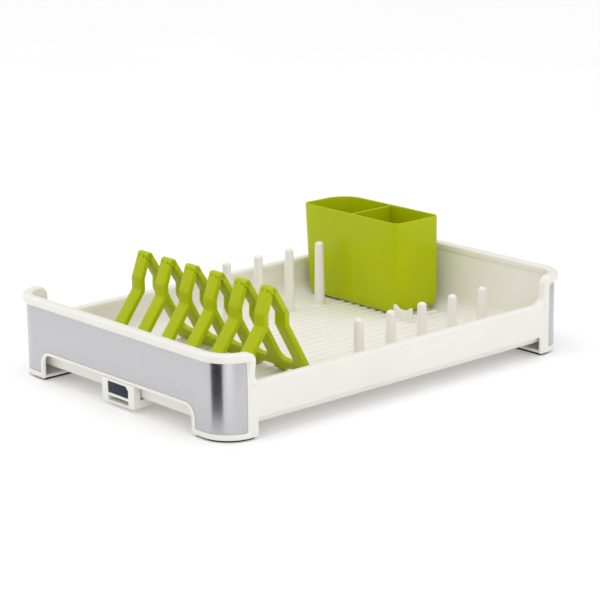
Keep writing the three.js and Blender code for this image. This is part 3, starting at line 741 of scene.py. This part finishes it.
def rib_ring(x, size):
    ring = [Vector((x, -RIB_HALF * size, TRAY_FLOOR - RIB_SINK))]
    for k in range(11):
        angle = math.pi * k / 10
        y = -RIB_HALF * size * math.cos(angle)
        ring.append(Vector((x, y, TRAY_FLOOR + RIB_RISE * size * math.sin(angle))))
    ring.append(Vector((x, RIB_HALF * size, TRAY_FLOOR - RIB_SINK)))
    return ring


fades = [math.pi / 2 * (0.15 + 0.85 * k / 4) for k in range(5)]
start = [rib_ring(-RIB_REACH + RIB_FADE * (1 - math.cos(a)), math.sin(a)) for a in fades]
end = [rib_ring(RIB_REACH - RIB_FADE * (1 - math.cos(a)), math.sin(a)) for a in reversed(fades)]
first_rib = loft("rib", start + end)
places = [(n - (RIB_COUNT - 1) / 2) * RIB_PITCH for n in range(RIB_COUNT)]
ribs = [copy_of(first_rib, f"rib_{n}", (0, y, 0)) for n, y in enumerate(places)]
bpy.data.objects.remove(first_rib)
combine(tray, join(ribs, "ribs"), "UNION")
print("ribs at", [round(y / MM, 1) for y in places])

# %% [markdown]
# A low upright plate with a hollow top stands on the floor and keeps the caddy from sliding. A
# cube could be cut into twice and pulled down, but one rounded outline has its curves at once.

# %% Caddy stop, and the tray handed over
STOP_X = 145.5 * MM
STOP_THICK = 2.5 * MM
STOP_FROM = -26.5 * MM
STOP_TO = 1.5 * MM
STOP_TOP = TRAY_FLOOR + 17 * MM
STOP_DIP = 4 * MM
STOP_CORNER = 1.2 * MM
STOP_SHOULDER = 1.5 * MM
STOP_HOLLOW = 5 * MM
STOP_EDGE = 0.5 * MM
quarter = (STOP_TO - STOP_FROM) / 4
stop_outline = outline([
    (STOP_FROM, TRAY_FLOOR - RIB_SINK, 0),
    (STOP_TO, TRAY_FLOOR - RIB_SINK, 0),
    (STOP_TO, STOP_TOP, STOP_CORNER),
    (STOP_TO - quarter * 0.4, STOP_TOP, STOP_SHOULDER),
    (STOP_TO - quarter * 1.2, STOP_TOP - STOP_DIP, STOP_HOLLOW),
    (STOP_FROM + quarter * 1.2, STOP_TOP - STOP_DIP, STOP_HOLLOW),
    (STOP_FROM + quarter * 0.4, STOP_TOP, STOP_SHOULDER),
    (STOP_FROM, STOP_TOP, STOP_CORNER),
])
stop = prism(
    "stop", stop_outline, lambda p, x: Vector((x, p.x, p.y)), STOP_X, STOP_X + STOP_THICK
)
round_edges(stop, STOP_EDGE)
combine(tray, stop, "UNION")
hand_over(tray, "rack_body", ivory, ["drip_tray"], 32)

# %% [markdown]
# ## Pegs
#
# Nine tapered pegs stand in two rows, a short row in front and a tall one behind, so that a pan
# or a board can lean between them. A peg flares into a foot and ends in a dome. One of each
# height is drawn up from a circle, and the others are copies. Spinning a profile would give the
# same peg, but its seam and its poles would have to be merged afterwards.

# %% Pegs
PEG_TOP = 4.8 * MM
PEG_FOOT = 6.0 * MM
PEG_FLARE = 0.7 * MM
PEG_DOME = 3.6 * MM
PEG_SIDES = 32


def circle_ring(radius, height):
    turn = 2 * math.pi / PEG_SIDES
    return [
        Vector((radius * math.cos(k * turn), radius * math.sin(k * turn), height))
        for k in range(PEG_SIDES)
    ]


def peg(name, top):
    rings = []
    for k in range(5):
        angle = math.pi / 2 * k / 4
        height = TRAY_FLOOR + 3 * PEG_FLARE * (1 - math.cos(angle))
        rings.append(circle_ring(PEG_FOOT + PEG_FLARE * (1 - math.sin(angle)), height))
    for k in range(8):
        angle = math.pi / 2 * k / 8
        height = top - PEG_DOME * (1 - math.sin(angle))
        rings.append(circle_ring(PEG_TOP * math.cos(angle), height))
    return loft(name, rings)


for row in ("front", "back"):
    nodes = [n for n in sorted(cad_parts) if n.startswith(f"peg_{row}")]
    model = peg(f"{row}_model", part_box(nodes[0])[1].z)
    for node in nodes:
        low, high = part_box(node)
        middle = (low + high) / 2
        copy = copy_of(model, node.replace("peg", "pin_peg"), (middle.x, middle.y, 0))
        hand_over(copy, "rack_body", ivory, [node], 40)
    bpy.data.objects.remove(model)

# %% [markdown]
# ## The cutlery caddy
#
# The caddy is a thin-walled tub with a rounded heel. One upright edge has a much larger radius,
# to match the corner of the tray, and the wall that faces the pegs leans. It is one loft up the
# outside, over a rolled rim and down the inside, and then a divider goes in and holes come out.
# A box with bevelled edges would do for one radius, but not for two with a leaning wall.

# %% Sizes of the caddy
caddy_low, caddy_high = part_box("cutlery_caddy")
STAND = caddy_low.z
CADDY_TOP = caddy_high.z
CADDY_LEAN = 6 * MM
CADDY_WALL = 2.2 * MM
CADDY_HEEL = 10 * MM
CADDY_TOE = 0.2
EDGE = 8.5 * MM
BIG_EDGE = 28 * MM
SMALLEST = 1 * MM


def caddy_ring(height, wall, heel):
    lean = CADDY_LEAN * (CADDY_TOP - height) / (CADDY_TOP - STAND)
    x0 = caddy_low.x + wall + lean + CADDY_TOE * heel
    x1 = caddy_high.x - wall - heel
    y0 = caddy_low.y + wall + heel
    y1 = caddy_high.y - wall - heel
    small = max(EDGE - wall - heel, SMALLEST)
    big = BIG_EDGE - wall - heel
    corners = [(x0, y0, small), (x1, y0, small), (x1, y1, big), (x0, y1, small)]
    return [Vector((p.x, p.y, height)) for p in outline(corners, 8)]


# %% The caddy's walls
HEEL_STEPS = 6
rings = []
for k in range(HEEL_STEPS + 1):
    angle = math.pi / 2 * k / HEEL_STEPS
    up, back = 1 - math.cos(angle), 1 - math.sin(angle)
    rings.append(caddy_ring(STAND + CADDY_HEEL * up, 0, CADDY_HEEL * back))
half_wall = CADDY_WALL / 2
for k in range(7):
    angle = math.pi * k / 6
    height = CADDY_TOP - half_wall * (1 - math.sin(angle))
    rings.append(caddy_ring(height, half_wall * (1 - math.cos(angle)), 0))
inner_heel = CADDY_HEEL - CADDY_WALL
for k in range(HEEL_STEPS + 1):
    angle = math.pi / 2 * k / HEEL_STEPS
    height = STAND + CADDY_WALL + inner_heel * (1 - math.sin(angle))
    rings.append(caddy_ring(height, CADDY_WALL, inner_heel * (1 - math.cos(angle))))
caddy = loft("caddy_tub", rings)
print("the tub has", len(caddy.data.polygons), "faces")

# %% [markdown]
# The divider is a thin wall across the middle, a millimetre below the rim and rounded on top.
# Eight holes let the water out into the tray. They could be inset in the floor's one big face,
# but a boolean cuts them through both of its sides together.

# %% Divider and holes
HOLE_RADIUS = 3 * MM
HOLE_CUT = 20 * MM
DIVIDER_DOWN = 1 * MM
middle = (caddy_low.y + caddy_high.y) / 2
divider_top = CADDY_TOP - DIVIDER_DOWN
divider_round = half_wall * 0.9
sink = CADDY_WALL / 2
divider_outline = outline([
    (middle - half_wall, STAND + sink, 0),
    (middle + half_wall, STAND + sink, 0),
    (middle + half_wall, divider_top, divider_round),
    (middle - half_wall, divider_top, divider_round),
])
span = (caddy_low.x + sink, caddy_high.x - sink)


def across_caddy(p, x):
    """The divider's ends lie inside the walls, the leaning one included."""
    lean = CADDY_LEAN * (CADDY_TOP - p.y) / (CADDY_TOP - STAND)
    return Vector((x + (lean if x == span[0] else 0), p.x, p.y))


combine(caddy, prism("divider", divider_outline, across_caddy, *span), "UNION")
holes = []
floor_x = (caddy_low.x + CADDY_LEAN + caddy_high.x) / 2
for side in (-1, 1):
    for step in (-3, -1, 1, 3):
        x = floor_x + side * (caddy_high.x - caddy_low.x) / 6
        y = middle + step * (caddy_high.y - caddy_low.y) / 8
        deselect()
        bpy.ops.mesh.primitive_cylinder_add(
            vertices=24, radius=HOLE_RADIUS, depth=HOLE_CUT, location=(x, y, STAND)
        )
        holes.append(settle("hole"))
combine(caddy, join(holes, "holes"), "DIFFERENCE")
hand_over(caddy, "caddy", lime, ["cutlery_caddy"], 35)

# %% [markdown]
# ## The plate rack
#
# Two lime combs lean against each other and are hinged along the top, so that the rack folds
# flat. Each comb is one moulding: six bent legs, and a bar across their feet that rises into the
# legs in small scallops. Legs swept along a curve and joined to a bar would leave hard lines
# where they meet. So, as with the frame, the flat shape is drawn first, its edges are rounded
# while that is easy, and then the board is scored across and bent.

# %% Sizes of the combs
HINGE_X = -119 * MM
HINGE_Z = 117 * MM
KNUCKLE = 4 * MM
KNUCKLE_WIDTH = 5.5 * MM
PIN = 1.3 * MM
PIN_HOLE = 1.6 * MM
STRAP_HALF = 8 * MM
STRAP_THICK = 5.8 * MM
STRAP_EDGE = 0.9 * MM
FRAME_PITCH = 39.1 * MM
FRAME_COUNT = 6
BAR_LOW = 6.5 * MM
BAR_HIGH = 15.6 * MM
BAR_ROUND = 2 * MM
SCALLOP = 8 * MM
LEG_TIP = 1 * MM
UPPER_BEND = 8 * MM
LOWER_BEND = 4 * MM
FOOT_SPARE = 6 * MM
GAP = 0.3 * MM
FOLD_ANGLE = math.radians(16)
FOLD_ROOM_HALF = 150 * MM
KNUCKLE_LAP = 0.9 * MM
KNUCKLE_EDGE = 0.5 * MM
BORE_PAST = 1 * MM
SKIM = 0.03 * MM
frame_places = [(n - (FRAME_COUNT - 1) / 2) * FRAME_PITCH for n in range(FRAME_COUNT)]
COMBS = {
    "left": (-1, (12.8 * MM, 94.5 * MM), (12.6 * MM, 82.5 * MM), 61.5 * MM),
    "right": (1, (20.3 * MM, 92 * MM), (19.8 * MM, 80 * MM), 54 * MM),
}


# %% The line a leg follows
def leg_path(upper, lower, spread):
    """The outer face of a leg, from below its foot up to where it touches the knuckle."""
    hinge = Vector((0, HINGE_Z))
    upper, lower, foot = Vector(upper), Vector(lower), Vector((spread, STAND))
    reach = (upper - hinge).length
    tilt = math.asin(KNUCKLE / reach)
    touch = hinge + Matrix.Rotation(math.pi / 2 - tilt, 2) @ (upper - hinge).normalized() * KNUCKLE
    below = foot + (foot - lower).normalized() * FOOT_SPARE
    corners = [(*below, 0), (*lower, LOWER_BEND), (*upper, UPPER_BEND), (*touch, 0)]
    return outline(corners, 6)


def stations(path):
    """Each point's distance along a path, and the step inwards that keeps faces parallel."""
    found = []
    along = 0
    for i, here in enumerate(path):
        before = (here - path[i - 1]).normalized() if i else None
        after = (path[i + 1] - here).normalized() if i + 1 < len(path) else None
        way = ((before or after) + (after or before)).normalized()
        side = Vector((-way.y, way.x))
        stretch = 1 / way.dot(after or before)
        found.append((along, here, side * stretch))
        if after:
            along += (path[i + 1] - here).length
    return found


# %% Bending a board along a path
def bend(piece, path, side):
    """Scores a board (y, depth, along) at the path's points and lays it along the path."""
    marks = stations(path)
    take(piece)
    bpy.ops.object.mode_set(mode="EDIT")
    for along, _, _ in marks[1:-1]:
        bpy.ops.mesh.select_all(action="SELECT")
        bpy.ops.mesh.bisect(plane_co=(0, 0, along), plane_no=(0, 0, 1))
    bpy.ops.object.mode_set(mode="OBJECT")
    for vertex in piece.data.vertices:
        y, depth, along = vertex.co
        k = max(i for i in range(len(marks) - 1) if i == 0 or marks[i][0] <= along)
        (a0, p0, n0), (a1, p1, n1) = marks[k], marks[k + 1]
        t = (along - a0) / (a1 - a0)
        spot = p0.lerp(p1, t) + n0.lerp(n1, t) * depth
        vertex.co = (HINGE_X + side * spot.x, y, spot.y)


# %% The flat comb
def comb_outline(top, slant):
    """A comb laid flat, as (across, along) corners: up and over the legs, back under the bar."""
    low = FOOT_SPARE + BAR_LOW * slant
    high = FOOT_SPARE + BAR_HIGH * slant
    corners = []
    for n, y in enumerate(frame_places):
        if n:
            corners.append((y - STRAP_HALF, high, SCALLOP))
        corners += [(y - STRAP_HALF, top, LEG_TIP), (y + STRAP_HALF, top, LEG_TIP)]
        if n < FRAME_COUNT - 1:
            corners.append((y + STRAP_HALF, high, SCALLOP))
    for n, y in reversed(list(enumerate(frame_places))):
        if n < FRAME_COUNT - 1:
            corners.append((y + STRAP_HALF, low, BAR_ROUND))
        corners += [(y + STRAP_HALF, 0, 0), (y - STRAP_HALF, 0, 0)]
        if n:
            corners.append((y - STRAP_HALF, low, BAR_ROUND))
    return outline(corners, 6)


def rods(name, radius, spans):
    """Round bars on the hinge line, from one y to another, as one piece."""
    made = []
    for y0, y1 in spans:
        deselect()
        bpy.ops.mesh.primitive_cylinder_add(
            vertices=40,
            radius=radius,
            depth=y1 - y0,
            location=(HINGE_X, (y0 + y1) / 2, HINGE_Z),
            rotation=(math.pi / 2, 0, 0),
        )
        made.append(settle(name))
    return join(made, name)


def fold_room(side):
    """A wedge under the hinge that one comb leaves free, so that the other can fold to it."""
    drop = 4 * KNUCKLE
    corners = [(0, 0), (drop * math.tan(FOLD_ANGLE), drop), (-2 * KNUCKLE, drop)]
    corners.append((-2 * KNUCKLE, 0))
    points = [Vector((HINGE_X + side * x, HINGE_Z - down)) for x, down in corners]
    half = FOLD_ROOM_HALF
    return prism("fold_room", points, lambda p, y: Vector((p.x, y, p.y)), -half, half)


# %% The two combs
inner_half = STRAP_HALF - KNUCKLE_WIDTH
outer_spans = []
inner_spans = []
for y in frame_places:
    outer_spans += [(y - STRAP_HALF, y - inner_half), (y + inner_half, y + STRAP_HALF)]
    inner_spans.append((y - inner_half + GAP, y + inner_half - GAP))
room = {
    "left": [(y0 - GAP, y1 + GAP) for y0, y1 in outer_spans],
    "right": [(y0 - GAP, y1 + GAP) for y0, y1 in inner_spans],
}
for which, (side, upper, lower, spread) in COMBS.items():
    path = leg_path(upper, lower, spread)
    top = stations(path)[-1][0]
    slant = math.hypot(1, (spread - lower[0]) / (lower[1] - STAND))
    points = comb_outline(top, slant)
    comb = prism(
        f"{which}_comb_frame", points, lambda p, d: Vector((p.x, d, p.y)), SKIM, STRAP_THICK
    )
    round_edges(comb, STRAP_EDGE, 3)
    bend(comb, path, side)
    take(comb)
    bpy.ops.object.mode_set(mode="EDIT")
    bpy.ops.mesh.select_all(action="SELECT")
    bpy.ops.mesh.bisect(
        plane_co=(0, 0, STAND), plane_no=(0, 0, -1), clear_outer=True, use_fill=True
    )
    bpy.ops.mesh.select_all(action="SELECT")
    bpy.ops.mesh.normals_make_consistent(inside=False)
    bpy.ops.object.mode_set(mode="OBJECT")
    combine(comb, fold_room(side), "DIFFERENCE")
    combine(comb, rods("room", KNUCKLE + 2 * GAP, room[which]), "DIFFERENCE")
    own = outer_spans if which == "right" else inner_spans
    combine(comb, rods("core", KNUCKLE - KNUCKLE_LAP, own), "DIFFERENCE")
    knuckles = rods("knuckles", KNUCKLE, own)
    round_edges(knuckles, KNUCKLE_EDGE)
    reach = STRAP_HALF + BORE_PAST
    bores = rods("bores", PIN_HOLE, [(y - reach, y + reach) for y in frame_places])
    combine(knuckles, bores, "DIFFERENCE")
    comb = join([comb, knuckles], f"{which}_comb_frame")
    hand_over(comb, f"{which}_comb", lime, [f"comb_{which}"], 30)

# %% [markdown]
# A pin runs through the knuckles of each pair of legs and stops a little inside their faces. It
# could be joined to a comb, but both combs turn on it, so each pin is a rod of its own.

# %% Hinge pins
PIN_SHORT = 0.5 * MM
PIN_EDGE = 0.3 * MM
for n, y in enumerate(frame_places, 1):
    reach = STRAP_HALF - PIN_SHORT
    pin = rods(f"hinge_rod_{n}", PIN, [(y - reach, y + reach)])
    round_edges(pin, PIN_EDGE)
    hand_over(pin, "plate_rack_hinge", lime, [f"hinge_pin_{n}"], 35)

# %% [markdown]
# ## Spout, plug, screws and feet
#
# These small parts are square-cut shapes. They could be built again from cubes and cylinders, but
# the loaded model already has them exactly. So each is copied with its own mesh, its triangles
# are merged back into whole faces, and its edges are rounded, since no moulded edge is sharp.

# %% Small parts
PLASTIC_EDGE = 0.6 * MM
PAD_EDGE = 0.5 * MM
SEAL_EDGE = 0.3 * MM
SCREW_EDGE = 0.15 * MM
FINE_MERGE = MERGE / 2


def refined(node, name, width, segments=2):
    deselect()
    source = bpy.data.objects[node]
    piece = source.copy()
    piece.data = source.data.copy()
    piece.name = piece.data.name = name
    for key in list(piece.keys()):
        del piece[key]
    bpy.context.scene.collection.objects.link(piece)
    take(piece)
    matrix = piece.matrix_world.copy()
    piece.parent = None
    piece.matrix_world = matrix
    bpy.ops.object.transform_apply()
    bpy.ops.object.mode_set(mode="EDIT")
    bpy.ops.mesh.select_all(action="SELECT")
    bpy.ops.mesh.remove_doubles(threshold=FINE_MERGE)
    bpy.ops.mesh.dissolve_limited(angle_limit=math.radians(1))
    bpy.ops.mesh.normals_make_consistent(inside=False)
    bpy.ops.object.mode_set(mode="OBJECT")
    round_edges(piece, width, segments)
    return piece


spout = refined("spout_housing", "spout", PLASTIC_EDGE, 3)
hand_over(spout, "rack_body", ivory, ["spout_housing"])
plug = refined("drain_plug", "plug", PLASTIC_EDGE)
hand_over(plug, "drain_plug_unit", slate, ["drain_plug"])
seal = refined("plug_seal", "seal", SEAL_EDGE)
hand_over(seal, "drain_plug_unit", rubber, ["plug_seal"])
for n in (1, 2):
    screw = refined(f"spout_screw_{n}", f"screw_{n}", SCREW_EDGE)
    hand_over(screw, "rack_body", screw_steel, [f"spout_screw_{n}"])
for node in [n for n in sorted(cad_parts) if n.startswith("foot_")]:
    pad = refined(node, node.replace("foot", "pad"), PAD_EDGE)
    hand_over(pad, "rack_body", rubber, [node])

# %% [markdown]
# ## Floor and light
#
# The rack stands on a plain white table in a white room, under one large soft light. White walls
# give the gloss and the steel something pale to reflect; darker stretches between them draw the
# bright and dark bands on the bent corners of the steel. The table glows a little of its own,
# which keeps it white right up to the rack.

# %% Floor
deselect()
bpy.ops.mesh.primitive_plane_add(size=12, location=(0, 0, 0))
floor = settle("floor")
floor_material, floor_tree, floor_shader = new_material("floor", 0.7)
floor_tone = ramp(floor_tree, noise(floor_tree, 3), 0.84, 0.86)
floor_tree.links.new(floor_tone, floor_shader.inputs["Base Color"])
floor_shader.inputs["Specular IOR Level"].default_value = 0.2
floor_shader.inputs["Emission Color"].default_value = (1, 1, 1, 1)
floor_shader.inputs["Emission Strength"].default_value = 0.15
floor.data.materials.append(floor_material)

# %% [markdown]
# The walls of the room are a ring of pale and dark stretches. Each entry below is a compass
# angle, seen from the rack and counted from +X towards +Y, and how bright the wall is there.
# Overhead it is evenly bright. Real panels with lamps behind them could stand there, but a ramp
# in the world's background is smoother and leaves no noise.

# %% The room
ROOM = [
    (0, 0.5),
    (55, 0.5),
    (80, 1.0),
    (150, 1.0),
    (172, 0.8),
    (188, 0.3),
    (206, 0.3),
    (224, 1.5),
    (238, 1.5),
    (248, 0.9),
    (275, 0.9),
    (315, 0.95),
    (345, 0.6),
]
BRIGHTEST = 1.6
OVERHEAD = 1.15
OVERHEAD_FROM = 0.55
OVERHEAD_FULL = 0.9


def math_node(tree, operation, first, second=None):
    node = tree.nodes.new("ShaderNodeMath")
    node.operation = operation
    for socket, value in zip(node.inputs, (first, second)):
        if isinstance(value, (int, float)):
            socket.default_value = value
        elif value is not None:
            tree.links.new(value, socket)
    return node.outputs[0]


world = bpy.data.worlds.new("studio")
world.use_nodes = True
room_tree = world.node_tree
direction = room_tree.nodes.new("ShaderNodeTexCoord").outputs["Generated"]
parts = room_tree.nodes.new("ShaderNodeSeparateXYZ")
room_tree.links.new(direction, parts.inputs[0])
angle = math_node(room_tree, "ARCTAN2", parts.outputs["Y"], parts.outputs["X"])
turn = math_node(room_tree, "DIVIDE", angle, 2 * math.pi)
turn = math_node(room_tree, "FRACT", math_node(room_tree, "ADD", turn, 1))
walls = room_tree.nodes.new("ShaderNodeValToRGB")
walls.color_ramp.interpolation = "EASE"
while len(walls.color_ramp.elements) < len(ROOM) + 1:
    walls.color_ramp.elements.new(0.5)
stops = ROOM + [(360, ROOM[0][1])]
for element, (compass, bright) in zip(walls.color_ramp.elements, stops):
    element.position = compass / 360
    element.color = (bright / BRIGHTEST, bright / BRIGHTEST, bright / BRIGHTEST, 1)
room_tree.links.new(turn, walls.inputs["Fac"])
overhead = room_tree.nodes.new("ShaderNodeMapRange")
overhead.inputs["From Min"].default_value = OVERHEAD_FROM
overhead.inputs["From Max"].default_value = OVERHEAD_FULL
room_tree.links.new(parts.outputs["Z"], overhead.inputs["Value"])
mix = room_tree.nodes.new("ShaderNodeMix")
mix.data_type = "RGBA"
room_tree.links.new(overhead.outputs["Result"], mix.inputs["Factor"])
room_tree.links.new(walls.outputs["Color"], mix.inputs["A"])
mix.inputs["B"].default_value = (OVERHEAD / BRIGHTEST,) * 3 + (1,)
background = room_tree.nodes["Background"]
room_tree.links.new(mix.outputs["Result"], background.inputs["Color"])
background.inputs["Strength"].default_value = BRIGHTEST
bpy.context.scene.world = world
bpy.context.scene.view_settings.view_transform = "Standard"


# %% The light overhead
def area_light(name, azimuth, height, distance, size, power):
    deselect()
    azimuth = math.radians(azimuth)
    spot = Vector((math.cos(azimuth), math.sin(azimuth), 0)) * distance
    spot.z = height
    bpy.ops.object.light_add(type="AREA", location=spot)
    light = bpy.context.object
    light.name = light.data.name = name
    light.data.shape = "RECTANGLE"
    light.data.size, light.data.size_y = size
    light.data.energy = power
    light.rotation_euler = (AIM - spot).to_track_quat("-Z", "Y").to_euler()


area_light("top", 200, 2.2, 0.6, (1.8, 1.8), 9)

# %% [markdown]
# Polished metal shows whatever stands near it, so a black card beside it draws a dark band down
# a curve. A darker stretch of the far walls would do it too, but only a near card's band has
# ends. This one stands by the near corner, where only reflections find it: the camera doesn't
# see it and it throws no shadow.

# %% The black card
CARD_COMPASS = math.radians(197)
CARD_AWAY = 0.0755
CARD_SIZE = (0.044, 0.16)
corner_centre = Vector((-HALF_LENGTH + CORNER, -HALF_WIDTH + CORNER, CARD_SIZE[1] / 2))
towards = Vector((math.cos(CARD_COMPASS), math.sin(CARD_COMPASS), 0))
deselect()
bpy.ops.mesh.primitive_plane_add(
    size=1,
    location=corner_centre + towards * CARD_AWAY,
    rotation=(math.pi / 2, 0, CARD_COMPASS + math.pi / 2),
)
bpy.context.object.scale = (*CARD_SIZE, 1)
card = settle("card")
print("the card measures", [round(v, 3) for v in card.dimensions])
card_material, card_tree, card_shader = new_material("card", 0.9)
card_tone = ramp(card_tree, noise(card_tree, 40), 0.01, 0.014)
card_tree.links.new(card_tone, card_shader.inputs["Base Color"])
card.data.materials.append(card_material)
card.visible_camera = False
card.visible_diffuse = False
card.visible_shadow = False
